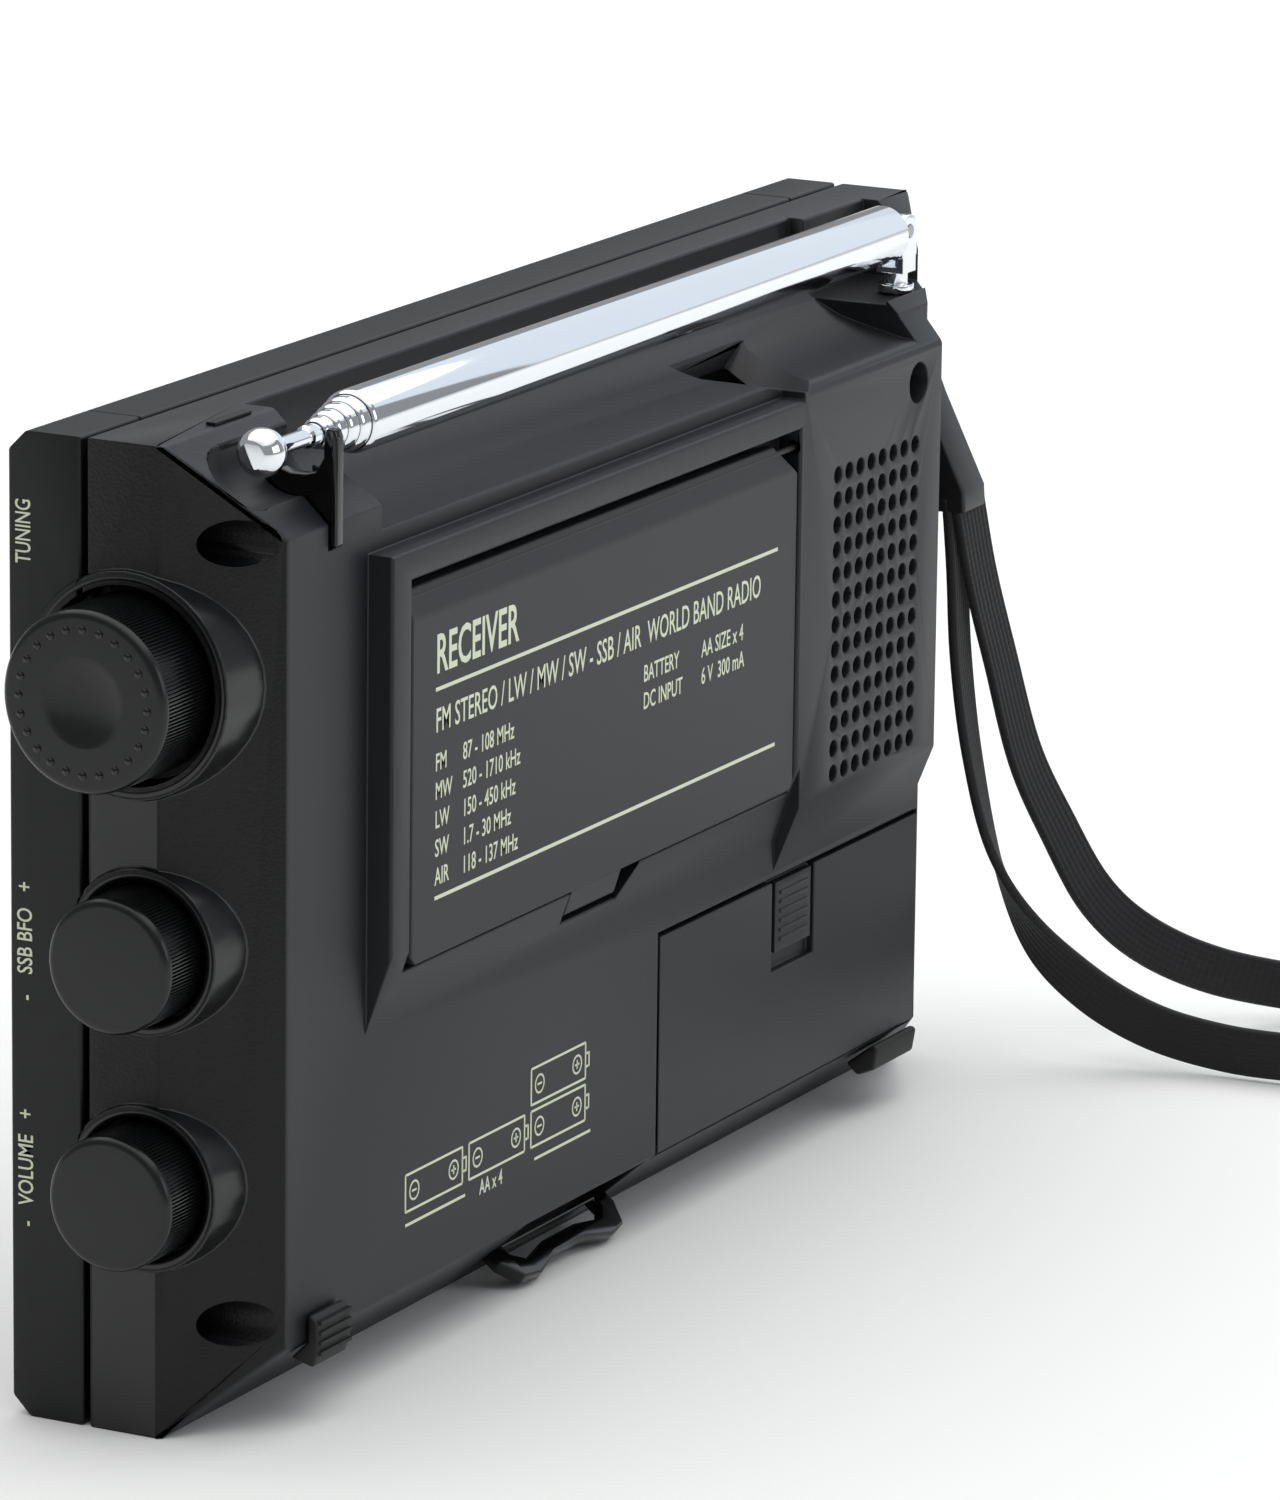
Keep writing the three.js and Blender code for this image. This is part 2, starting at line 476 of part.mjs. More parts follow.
function buildInside() {
  const grilleDisc = rodY(-16.4, -15.2, SPEAKER.x, SPEAKER.z, SPEAKER.r - 0.3, 40);
  const rings = [];
  for (let ring = 1; ring <= 4; ring++) {
    const count = ring * 6;
    for (let i = 0; i < count; i++) {
      const a = i / count * 2 * Math.PI;
      rings.push(rodY(-18, -14, SPEAKER.x + ring * 7.2 * Math.cos(a), SPEAKER.z + ring * 7.2 * Math.sin(a), 2, 6));
    }
  }
  piece("speaker_grille", grilleDisc.subtract(join(rings)), DARK, 0.6);
  const basket = rodY(-13.9, -12.6, SPEAKER.x, SPEAKER.z, 33, 32).subtract(rodY(-15, -10, SPEAKER.x, SPEAKER.z, 29.5, 32));
  const bowl = new THREE.CylinderGeometry(13, 29.8, 7, 32);
  bowl.translate(SPEAKER.x, -9.2, SPEAKER.z);
  const bowlIn = new THREE.CylinderGeometry(12, 28.8, 7.4, 32);
  bowlIn.translate(SPEAKER.x, -9.4, SPEAKER.z);
  const frame = basket.add(manifold(bowl).subtract(manifold(bowlIn)));
  piece("speaker_basket", frame.add(rodY(-6.4, -5.7, SPEAKER.x, SPEAKER.z, 14, 32)), STEEL, 0.5, 1);
  piece("speaker_magnet", rodY(-5.6, 1.4, SPEAKER.x, SPEAKER.z, 15, 32), 0x3a3a3c, 0.7);
  const cone = new THREE.CylinderGeometry(6, 28, 4.6, 24);
  cone.translate(SPEAKER.x, -10.6, SPEAKER.z);
  const coneIn = new THREE.CylinderGeometry(5.4, 27.4, 4.8, 24);
  coneIn.translate(SPEAKER.x, -11, SPEAKER.z);
  piece("speaker_cone", manifold(cone).subtract(manifold(coneIn)), DARK, 0.9);
  piece("display_window", prismY(roundRect(1.2, 76.8, 73.2, 104.8, 2.8), -16.4, -14.9), 0x20262a, 0.05);
  piece("lcd_module", box(3, 75, -13.9, -9.8, 74.6, 101.4), 0x9aa890, 0.3);
  piece("main_board", box(-24, 73, -5.6, -4, 41, 101), BOARD, 0.6);
  piece("ferrite_rod", rodX(-60, 56, -8.4, 107, 4, 4, 20), 0x4a4540, 0.7);
  let pad = box(-0.5, 41.5, -13.9, -12.6, 17, 60);
  for (const x of PAD_X) {
    for (const z of PAD_Z) {
      pad = pad.add(prismY(roundRect(x - 5, x + 5, z - 3.3, z + 3.3, 1.6), -17.1, -13.2));
    }
  }
  piece("number_pad", pad, 0x3a3b40, 0.8);
  for (const [name, x, z] of KEY_SPOTS) {
    const cap = prismY(roundRect(x - 6, x + 6, z - 3.5, z + 3.5, 1.6), -17.3, -13.2);
    const flange = prismY(roundRect(x - 7, x + 7, z - 4.5, z + 4.5, 1.6), -13.9, -13);
    piece(name, cap.add(flange), 0x55575c, 0.6);
  }
  piece("headphone_jack", rodX(-93.3, -80, -10.4, 62, 3, 3, 24).add(box(-90, -79, -14, -6.9, 58, 66)).subtract(
    rodX(-99, -82, -10.4, 62, 1.8, 1.8, 24)), DARK, 0.5);
  piece("power_jack", rodX(-93.3, -82, -10.4, 47, 3.2, 3.2, 24).add(box(-90, -79, -14, -6.9, 43, 51)).subtract(
    rodX(-99, -82, -10.4, 47, 2.6, 2.6, 24)), DARK, 0.5);
  piece("gain_switch", box(-94.6, -88.5, -11.9, -8.9, 74.2, 77.6).add(box(-91.1, -89.8, -13.4, -7.4, 73.4, 78.6)),
    DARK, 0.5);
}

function screw(name, x, z, y0) {
  const shank = rodY(-6.2, y0, x, z, 1.2, 16);
  const head = rodY(y0 - 0.1, y0 + 1.5, x, z, 2.3, 24);
  const cross = join([box(x - 1.3, x + 1.3, y0 + 0.8, y0 + 3, z - 0.3, z + 0.3),
    box(x - 0.3, x + 0.3, y0 + 0.8, y0 + 3, z - 1.3, z + 1.3)]);
  piece(name, shank.add(head).subtract(cross), STEEL, 0.35, 1);
}

// ---- wrist strap ----

function buildStrap() {
  const route = [
    [-92.5, 10.9, 72.6], [-92.8, 11.6, 66], [-93, 12.3, 54], [-93.5, 14, 41], [-94.5, 17, 28], [-96.5, 22, 17.5],
    [-99, 28.5, 10], [-101.5, 36.5, 5], [-103, 46, 2.6], [-104, 56, 2.1], [-106.5, 70, 2.1], [-112, 80.5, 2.1],
    [-120.5, 84.5, 2.1], [-129, 80.5, 2.1], [-134, 70, 2.1], [-136, 57, 2.3], [-133, 44.5, 3.4], [-124, 35.5, 7.5],
    [-116, 29, 13], [-110, 24.5, 20], [-105, 21, 30], [-101, 18, 40], [-98.6, 15.3, 53], [-95.2, 13.8, 64.5],
    [-92.5, 12.9, 72.6],
  ].map((p) => new THREE.Vector3(...p));
  const line = new THREE.CatmullRomCurve3(route, false, "centripetal");
  const shape = new THREE.Shape();
  shape.absarc(0, 0, STRAP_R, 0, 2 * Math.PI, false);
  const tube = new THREE.ExtrudeGeometry(shape, {
    steps: 64, bevelEnabled: false, extrudePath: line, curveSegments: 4,
  });
  piece("wrist_strap", manifold(tube), 0x1d1d20, 0.95);
  const crimp = prismX([
    [4.4, 91.4], [6.6, 91.8], [8.2, 88], [13.9, 76.5], [14.1, 73.6], [9.6, 73.4], [8.6, 78], [6.4, 84],
  ], -95.9, -89.4);
  piece("strap_crimp", crimp, 0x202024, 0.9);
}

buildFront();
buildBack();
buildFeetAndBail();
buildControls();
buildKickstand();
buildBattery();
buildAntenna();
buildInside();
screw("case_screw_top", 88.4, 102.9, 0.5);
screw("case_screw_bottom", 88.4, 13.3, 0.5);
screw("case_screw_far", -67.4, 94.9, 4);
buildStrap();

export default group;
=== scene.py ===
# %% [markdown]
# # A portable world-band receiver, seen from behind
#
# The real object is a charcoal ABS case in two halves. Three knobs sit on one end, a chromed
# telescopic antenna lies in a groove along the top, and a wrist strap hangs from the other end.
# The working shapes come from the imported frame, so this script adds only what makes them look
# real: round edges, knurls, webbing, print, finishes and light.

# %% Load the frame
import math
import bmesh
import bpy
from mathutils import Matrix, Vector


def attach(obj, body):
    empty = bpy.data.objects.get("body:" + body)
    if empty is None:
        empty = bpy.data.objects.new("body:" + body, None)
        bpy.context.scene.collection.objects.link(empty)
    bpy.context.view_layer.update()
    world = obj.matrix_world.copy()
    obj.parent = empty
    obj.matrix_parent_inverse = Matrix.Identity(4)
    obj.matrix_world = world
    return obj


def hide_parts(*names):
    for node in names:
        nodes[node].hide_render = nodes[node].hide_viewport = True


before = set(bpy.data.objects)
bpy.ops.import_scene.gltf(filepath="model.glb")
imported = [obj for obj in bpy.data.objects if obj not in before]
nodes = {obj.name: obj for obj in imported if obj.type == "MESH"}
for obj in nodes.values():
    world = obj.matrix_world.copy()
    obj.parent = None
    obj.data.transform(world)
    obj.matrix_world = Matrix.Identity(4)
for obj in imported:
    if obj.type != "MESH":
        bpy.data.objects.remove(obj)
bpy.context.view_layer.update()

# %% [markdown]
# ## Camera
# A long lens flattens the case, as in a product picture taken from a metre away. The camera is
# placed by a point and three directions, which says exactly how it is turned: forward, and a
# small roll about it.

# %% Place the camera
YAW, PITCH, ROLL = (math.radians(v) for v in (27.41, 13.75, 0.72))
forward = Vector((-math.cos(YAW) * math.cos(PITCH), -math.sin(YAW) * math.cos(PITCH), -math.sin(PITCH)))
level_right = forward.cross(Vector((0, 0, 1))).normalized()
level_up = level_right.cross(forward)
right = math.cos(ROLL) * level_right + math.sin(ROLL) * level_up
up = math.cos(ROLL) * level_up - math.sin(ROLL) * level_right
camera = bpy.data.objects.new("camera", bpy.data.cameras.new("camera"))
bpy.context.scene.collection.objects.link(camera)
turn = Matrix((right, up, -forward)).transposed().to_4x4()
camera.matrix_world = Matrix.Translation((0.899121, 0.480394, 0.309282)) @ turn
camera.data.lens = 209.6
camera.data.sensor_width = 36
camera.data.clip_start = 0.05
bpy.context.scene.camera = camera
print("camera at", [round(v, 3) for v in camera.location], "lens", camera.data.lens)

# %% [markdown]
# ## Colours and finishes
# Every finish starts from the real material. ABS is a tough plastic, and its sheen depends on
# the mould: a spark-eroded mould leaves a fine matte grain and a polished one a soft gloss.
# Colours are written as the hex values that a screen shows, and one function makes them linear.

# %% Helpers for materials
def colour(hex_value):
    """An sRGB hex colour as linear RGBA."""
    parts = [int(hex_value[i:i + 2], 16) / 255 for i in (1, 3, 5)]
    line = [c / 12.92 if c <= 0.04045 else ((c + 0.055) / 1.055) ** 2.4 for c in parts]
    return (*line, 1.0)


def add_node(tree, kind, links=None, **settings):
    """Adds a node, sets its properties or sockets by name, and links other sockets into it."""
    made = tree.nodes.new(kind)
    for key, value in settings.items():
        socket = made.inputs.get(key.replace("_", " "))
        if socket is not None and not hasattr(made, key):
            socket.default_value = value
        else:
            setattr(made, key, value)
    for key, source in (links or {}).items():
        tree.links.new(source, made.inputs[key])
    return made


def new_material(name, base, roughness, metallic=0.0, gloss=0.5):
    """A principled material with one base colour; gloss is how strongly its surface mirrors."""
    made = bpy.data.materials.new(name)
    made.use_nodes = True
    shader = made.node_tree.nodes["Principled BSDF"]
    shader.inputs["Base Color"].default_value = colour(base)
    shader.inputs["Roughness"].default_value = roughness
    shader.inputs["Metallic"].default_value = metallic
    shader.inputs["Specular IOR Level"].default_value = gloss
    return made, made.node_tree, shader


def grain(tree, shader, per_metre, depth, strength=1.0, kind="ShaderNodeTexNoise"):
    """Raises a fine pattern on Object coordinates: per_metre cells, depth in metres."""
    place = add_node(tree, "ShaderNodeTexCoord")
    pattern = add_node(tree, kind, {"Vector": place.outputs["Object"]}, Scale=per_metre)
    height = pattern.outputs["Distance" if kind == "ShaderNodeTexVoronoi" else "Fac"]
    bump = add_node(tree, "ShaderNodeBump", {"Height": height}, Strength=strength, Distance=depth)
    tree.links.new(bump.outputs["Normal"], shader.inputs["Normal"])
    return pattern


# %% Plastics
# Moulded ABS with a spark-eroded grain about 0.35 mm wide, which breaks the highlights up.
abs_matte, tree, shader = new_material("moulded_ABS_fine_grain", "#191a1e", 0.46, 0, 0.4)
grain(tree, shader, 2800, 0.00003, 0.3)
# The broad bevels carry a leather-like grain with cells of about 0.4 mm.
abs_leather, tree, shader = new_material("moulded_ABS_leather_grain", "#0d0d0e", 0.46, 0, 0.3)
grain(tree, shader, 2600, 0.00007, 0.6, "ShaderNodeTexVoronoi")
# The front half is smoother, because its mould is blasted with a finer grit.
abs_smooth, tree, shader = new_material("moulded_ABS_satin", "#0f1011", 0.4, 0, 0.3)
grain(tree, shader, 4200, 0.00002, 0.2)
# Collars are polished a little, so that they catch a soft line of light.
abs_gloss, tree, shader = new_material("moulded_ABS_soft_gloss", "#0d0e10", 0.24)
knob_plastic, tree, shader = new_material("turned_ABS_knob", "#0c0d0e", 0.26, 0, 0.4)
black_gloss, tree, shader = new_material("black_acetal", "#09090a", 0.12)
rubber, tree, shader = new_material("moulded_rubber", "#0c0c0d", 0.6)
grain(tree, shader, 3000, 0.00003, 0.3)
silicone, tree, shader = new_material("silicone_keys", "#46484d", 0.62)
crimp_vinyl, tree, shader = new_material("soft_vinyl_sleeve", "#101012", 0.42)
key_plastic, tree, shader = new_material("painted_key_ABS", "#6b6d72", 0.45)
print("plastics made:", len(bpy.data.materials))

# %% Metals, print, board and glass
# Chrome plate on brass tube: a mirror with a slightly cool white.
chrome, tree, shader = new_material("chrome_plate", "#e6eaee", 0.07, 1.0)
# Zinc-plated steel is softer and greyer than chrome.
steel, tree, shader = new_material("zinc_plated_steel", "#a9abae", 0.34, 1.0)
blackened, tree, shader = new_material("blackened_steel", "#08080a", 0.5)
ferrite, tree, shader = new_material("sintered_ferrite", "#3b3837", 0.6)
grain(tree, shader, 2500, 0.00003, 0.4)
# Screen-printed ink is a flat pale green cream, a little rough.
ink, tree, shader = new_material("screen_printed_ink", "#d5dcc0", 0.55)
board, tree, shader = new_material("solder_mask_laminate", "#1f5a3a", 0.35)
paper, tree, shader = new_material("speaker_cone_paper", "#151515", 0.9)
window, tree, shader = new_material("smoked_acrylic_window", "#14181b", 0.06)
lcd, tree, shader = new_material("liquid_crystal_panel", "#8f9a86", 0.25)
cell_wrap, tree, shader = new_material("shrink_wrapped_cell", "#4d6f8c", 0.3)
# Painted shade: a near-black material for the insides of the vent holes, carried by the cutting pins.
shadow_black, tree, shader = new_material("painted_vent_hole_shade", "#0b0b0c", 0.4)
print("finishes made:", len(bpy.data.materials))

# %% [markdown]
# ## Wrist strap
# The strap is flat ribbed nylon webbing, 6.4 mm wide and 1.3 mm thick. It hangs in two runs from
# one crimp, and stands on its edge where it meets the table, because webbing bends far more
# easily across its face than across its width. A ribbon swept along the route, with its width
# turned as listed at each point, gives that twist, where a plain curve would twist wherever it liked.

# %% Route of the strap
ROUTE = [
    (-92.5, 10.9, 75.4, 0), (-92.8, 11.6, 66, 0), (-93, 12.3, 54, 0.05), (-93.5, 14, 41, 0.2),
    (-94.5, 17, 28, 0.4),
    (-96.5, 22, 17.5, 0.65), (-99, 28.5, 10.6, 0.85), (-101.5, 36.5, 6, 0.95), (-103, 46, 4, 1),
    (-104, 56, 3.7, 1), (-106.5, 70, 3.7, 1), (-112, 80.5, 3.7, 1), (-120.5, 84.5, 3.7, 1),
    (-129, 80.5, 3.7, 1),
    (-134, 70, 3.7, 1), (-136, 57, 3.8, 1), (-133, 44.5, 4.6, 0.95), (-124, 35.5, 8, 0.85),
    (-116, 29, 13.2, 0.7), (-110, 24.5, 20, 0.55), (-105, 21, 30, 0.4), (-101, 18, 40, 0.25),
    (-98.6, 15.3, 53, 0.1), (-95.2, 13.8, 64.5, 0), (-92.5, 12.9, 75.4, 0),
]
STRAP_WIDTH = 6.4
STRAP_THICK = 1.3
RIBS = 8


def catmull(points, steps):
    """A smooth run through every point, with steps places between each pair."""
    p = [Vector(v) for v in points]
    p = [2 * p[0] - p[1], *p, 2 * p[-1] - p[-2]]
    out = []
    for i in range(1, len(p) - 2):
        for k in range(steps):
            t = k / steps
            a, b, c, d = p[i - 1:i + 3]
            out.append(0.5 * (2 * b + (c - a) * t + (2 * a - 5 * b + 4 * c - d) * t * t
                              + (3 * b - a - 3 * c + d) * t ** 3))
    return [*out, p[-2]]


route = catmull([p[:3] for p in ROUTE], 10)
twist = [v.x for v in catmull([(p[3], 0, 0) for p in ROUTE], 10)]
strap_length = sum((b - a).length for a, b in zip(route, route[1:])) / 1000
print("strap centreline, metres:", round(strap_length, 4))


# %% Sweep the webbing
def mesh_object(name, points, faces, *materials):
    """A mesh object at the origin, from points in millimetres."""
    data = bpy.data.meshes.new(name)
    data.from_pydata([Vector(p) / 1000 for p in points], [], faces)
    for m in materials:
        data.materials.append(m)
    data.update()
    made = bpy.data.objects.new(name, data)
    bpy.context.scene.collection.objects.link(made)
    return made


def section_points():
    """The webbing's outline: (across, thick, ribbed height) round its edge."""
    steps = RIBS * 6
    top = []
    for i in range(steps + 1):
        across = -STRAP_WIDTH / 2 + STRAP_WIDTH * i / steps
        edge = min(1.0, (STRAP_WIDTH / 2 - abs(across)) / 0.5)
        rib = 0.09 * abs(math.sin(math.pi * RIBS * i / steps))
        half = (STRAP_THICK / 2 - 0.1) * math.sqrt(max(0.0, 1 - (1 - edge) ** 2)) * 0.8 + 0.12 + rib
        top.append((across, half))
    return [*top, *[(a, -t) for a, t in reversed(top)]]


def sweep(path, turns, outline):
    """Points and faces of an outline carried along a path, its ends closed."""
    points, faces, n = [], [], len(outline)
    for i, here in enumerate(path):
        ahead = (path[min(i + 1, len(path) - 1)] - path[max(i - 1, 0)]).normalized()
        sign = 1 if i < len(path) / 2 else -1
        wide = Vector((sign, 0.15, 0)).lerp(Vector((0, 0.1, 1)), turns[i])
        wide = (wide - ahead * wide.dot(ahead)).normalized()
        thick = ahead.cross(wide)
        points += [here + wide * a + thick * t for a, t in outline]
    for i in range(len(path) - 1):
        for k in range(n):
            j = (k + 1) % n
            faces.append((i * n + k, i * n + j, (i + 1) * n + j, (i + 1) * n + k))
    faces.append(tuple(reversed(range(n))))
    faces.append(tuple(range((len(path) - 1) * n, len(path) * n)))
    return points, faces


webbing, tree, shader = new_material("woven_nylon_webbing", "#0d0d10", 0.8)
# Weft threads about 0.5 mm apart cross the ribs, so the bump runs along the strap's own UV.
place = add_node(tree, "ShaderNodeUVMap", uv_map="strap")
weave = add_node(tree, "ShaderNodeTexWave", {"Vector": place.outputs["UV"]}, Scale=1.0, bands_direction="Y")
bump = add_node(tree, "ShaderNodeBump", {"Height": weave.outputs["Fac"]}, Strength=0.35, Distance=0.0001)
tree.links.new(bump.outputs["Normal"], shader.inputs["Normal"])
shader.inputs["Sheen Weight"].default_value = 0.08

outline = section_points()
points, faces = sweep(route, twist, outline)
strap = mesh_object("strap_webbing", points, faces, webbing)
uv = strap.data.uv_layers.new(name="strap")
count = len(outline)
for loop in strap.data.loops:
    row, column = divmod(loop.vertex_index, count)
    uv.data[loop.index].uv = (column / count, row * strap_length * 1000 / len(route) / 3)
strap.data.shade_smooth()
bm = bmesh.new()
bm.from_mesh(strap.data)
bmesh.ops.recalc_face_normals(bm, faces=bm.faces)
bm.to_mesh(strap.data)
bm.free()
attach(strap, "case")
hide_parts("wrist_strap")
print("webbing faces:", len(strap.data.polygons))

# %% [markdown]
# ## Round edges on the moulded parts
# A moulded edge is never sharp: it has a radius of a few tenths of a millimetre, and that radius
# is what shows as a thin line of light. A copy of each frame mesh has its loose triangles merged
# into flat faces, gets a bevel on its real edges, and stands in for the frame's own node.

# %% Copy and round frame meshes
def merged(names):
    """One mesh of the named frame nodes, its triangles joined where they are flat."""
    bm = bmesh.new()
    for n in names:
        bm.from_mesh(nodes[n].data)
    bmesh.ops.remove_doubles(bm, verts=bm.verts, dist=2e-6)
    bmesh.ops.dissolve_limit(bm, angle_limit=math.radians(0.6), verts=bm.verts, edges=bm.edges)
    data = bpy.data.meshes.new("merged")
    bm.to_mesh(data)
    bm.free()
    return data


def baked(obj):
    """Turns an object's modifiers into a plain mesh on the same object."""
    graph = bpy.context.evaluated_depsgraph_get()
    data = bpy.data.meshes.new_from_object(obj.evaluated_get(graph))
    obj.modifiers.clear()
    obj.data = data
    return obj


def finish_piece(obj, body, stands_for):
    """Rides the piece on its body and hides the nodes that it stands for."""
    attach(obj, body)
    if stands_for:
        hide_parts(*stands_for)
    return obj


def weigh_edges(data, angle, share):
    """Weighs corners for the bevel: 1 on convex edges over 11 mm long, share on the rest."""
    bm = bmesh.new()
    bm.from_mesh(data)
    layer = bm.edges.layers.float.new("bevel_weight_edge")
    for e in bm.edges:
        if len(e.link_faces) == 2 and e.calc_face_angle(0) > math.radians(angle):
            e[layer] = 1.0 if e.is_convex and e.calc_length() > 0.011 else share
    bm.to_mesh(data)
    bm.free()


def rounded(name, names, body, material, width=0.35, angle=35, cutter=None, share=1.0):
    """A rounded copy of frame nodes, cut by cutter first; short edges get share of the width."""
    obj = bpy.data.objects.new(name, merged(names))
    bpy.context.scene.collection.objects.link(obj)
    obj.data.materials.clear()
    obj.data.materials.append(material)
    if cutter is not None:
        cut = obj.modifiers.new("cut", "BOOLEAN")
        cut.operation = "DIFFERENCE"
        cut.solver = "EXACT"
        cut.object = cutter
        baked(obj)
    weigh_edges(obj.data, angle, share)
    bevelled(obj, width)
    finish_piece(obj, body, names)
    return obj


def bevelled(obj, width):
    """Rounds the weighed edges and keeps the flat faces flat in their shading."""
    for p in obj.data.polygons:
        p.use_smooth = True
    edge = obj.modifiers.new("round", "BEVEL")
    edge.width = width / 1000
    edge.segments = 4
    edge.limit_method = "WEIGHT"
    edge.use_clamp_overlap = False
    edge.harden_normals = True
    return baked(obj)


# %% [markdown]
# ## Repeated shapes
# Beads, knurls, ribs and vent holes repeat by a rule, so Geometry Nodes place them. Two trees
# do all of it: one puts a shape at equal steps round a circle and turns each one outwards, and
# the other puts a shape on a flat grid.

# %% Trees for a ring and for a grid
def start_tree(name, inputs):
    tree = bpy.data.node_groups.new(name, "GeometryNodeTree")
    tree.interface.new_socket("Geometry", in_out="INPUT", socket_type="NodeSocketGeometry")
    for label, kind in inputs:
        tree.interface.new_socket(label, in_out="INPUT", socket_type=kind)
    tree.interface.new_socket("Geometry", in_out="OUTPUT", socket_type="NodeSocketGeometry")
    return tree, tree.nodes.new("NodeGroupInput"), tree.nodes.new("NodeGroupOutput")


def end_tree(tree, given, points, turned, out):
    shape = add_node(tree, "GeometryNodeObjectInfo", {"Object": given.outputs["Shape"]})
    links = {"Points": points, "Instance": shape.outputs["Geometry"]}
    if turned is not None:
        links["Rotation"] = turned
    spread = add_node(tree, "GeometryNodeInstanceOnPoints", links)
    real = add_node(tree, "GeometryNodeRealizeInstances", {"Geometry": spread.outputs["Instances"]})
    paint = add_node(tree, "GeometryNodeSetMaterial",
                     {"Geometry": real.outputs["Geometry"], "Material": given.outputs["Material"]})
    tree.links.new(paint.outputs["Geometry"], out.inputs["Geometry"])


ring_tree, given, out = start_tree("ring_of_shapes", [
    ("Count", "NodeSocketInt"), ("Radius", "NodeSocketFloat"), ("Shape", "NodeSocketObject"),
    ("Material", "NodeSocketMaterial")])
circle = add_node(ring_tree, "GeometryNodeMeshCircle",
                  {"Vertices": given.outputs["Count"], "Radius": given.outputs["Radius"]})
outward = add_node(ring_tree, "GeometryNodeInputPosition")
facing = add_node(ring_tree, "FunctionNodeAlignRotationToVector",
                  {"Vector": outward.outputs["Position"]}, axis="X")
end_tree(ring_tree, given, circle.outputs["Mesh"], facing.outputs["Rotation"], out)

grid_tree, given, out = start_tree("grid_of_shapes", [
    ("Columns", "NodeSocketInt"), ("Rows", "NodeSocketInt"), ("Width", "NodeSocketFloat"),
    ("Depth", "NodeSocketFloat"), ("Shape", "NodeSocketObject"), ("Material", "NodeSocketMaterial")])
grid = add_node(grid_tree, "GeometryNodeMeshGrid", {
    "Vertices X": given.outputs["Columns"], "Vertices Y": given.outputs["Rows"],
    "Size X": given.outputs["Width"], "Size Y": given.outputs["Depth"]})
end_tree(grid_tree, given, grid.outputs["Mesh"], None, out)


def repeat(name, tree, matrix, **inputs):
    """Runs a tree once, and leaves its result as a plain mesh moved by matrix."""
    carrier = mesh_object(name, [(0, 0, 0)], [])
    run = carrier.modifiers.new("repeat", "NODES")
    run.node_group = tree
    sockets = {s.name: s.identifier for s in tree.interface.items_tree if s.in_out == "INPUT"}
    for key, value in inputs.items():
        run[sockets[key]] = value
    baked(carrier)
    carrier.data.transform(matrix)
    bpy.data.objects.remove(inputs["Shape"])
    return carrier


def joined(target, extra):
    """Adds a second object's mesh to the first, materials kept, and removes the second."""
    offset = len(target.data.materials)
    for m in extra.data.materials:
        target.data.materials.append(m)
    bm = bmesh.new()
    bm.from_mesh(target.data)
    before = len(bm.faces)
    bm.from_mesh(extra.data)
    bm.faces.ensure_lookup_table()
    for f in bm.faces[before:]:
        f.material_index += offset
    bm.to_mesh(target.data)
    bm.free()
    bpy.data.objects.remove(extra)
    return target


print("trees:", [t.name for t in bpy.data.node_groups])

# %% [markdown]
# ## Turned shapes
# Knobs, antenna tubes and collar lips are bodies of revolution. A short list of places along
# the axis and their radii is spun about X, which is how a lathe would make them.

# %% Spin a profile about X
def spun(name, profile, y, z, material, sides=96, closed=False):
    """profile is [(x, radius)] in millimetres; ends of radius 0 are closed by a fan."""
    points, rows = [], []
    for x, r in profile:
        if r < 1e-6:
            rows.append([len(points)] * sides)
            points.append((x, y, z))
        else:
            rows.append(list(range(len(points), len(points) + sides)))
            for k in range(sides):
                a = 2 * math.pi * k / sides
                points.append((x, y + r * math.cos(a), z + r * math.sin(a)))
    faces = []
    pairs = list(zip(rows, rows[1:]))
    if closed:
        pairs.append((rows[-1], rows[0]))
    for a, b in pairs:
        for k in range(sides):
            j = (k + 1) % sides
            corner = []
            for v in (a[k], a[j], b[j], b[k]):
                if v not in corner:
                    corner.append(v)
            if len(corner) > 2:
                faces.append(corner)
    obj = mesh_object(name, points, faces, material)
    bm = bmesh.new()
    bm.from_mesh(obj.data)
    bmesh.ops.recalc_face_normals(bm, faces=bm.faces)
    bm.to_mesh(obj.data)
    bm.free()
    for p in obj.data.polygons:
        p.use_smooth = True
    obj.data.set_sharp_from_angle(angle=math.radians(32))
    return obj


def prism(name, outline, plane, start, end, material):
    """An outline of two coordinates pushed along the third: plane is the axis it runs along."""
    n = len(outline)

    def at(p, d):
        return {"x": (d, p[0], p[1]), "y": (p[0], d, p[1]), "z": (p[0], p[1], d)}[plane]

    points = [at(p, start) for p in outline] + [at(p, end) for p in outline]
    faces = [tuple(range(n)), tuple(range(n, 2 * n))]
    faces += [(i, (i + 1) % n, n + (i + 1) % n, n + i) for i in range(n)]
    obj = mesh_object(name, points, faces, material)
    bm = bmesh.new()
    bm.from_mesh(obj.data)
    bmesh.ops.recalc_face_normals(bm, faces=bm.faces)
    bm.to_mesh(obj.data)
    bm.free()
    return obj


# %% [markdown]
# ## Case
# The two halves meet at a dark parting gap. The vents of the back half are round holes of 2 mm
# on a pitch of 3.1 mm, so a grid of pins is cut out of it. Then the faces are sorted by where
# they point: the broad bevels of the knob end carry the leather grain, and the flares round the
# knobs are polished.

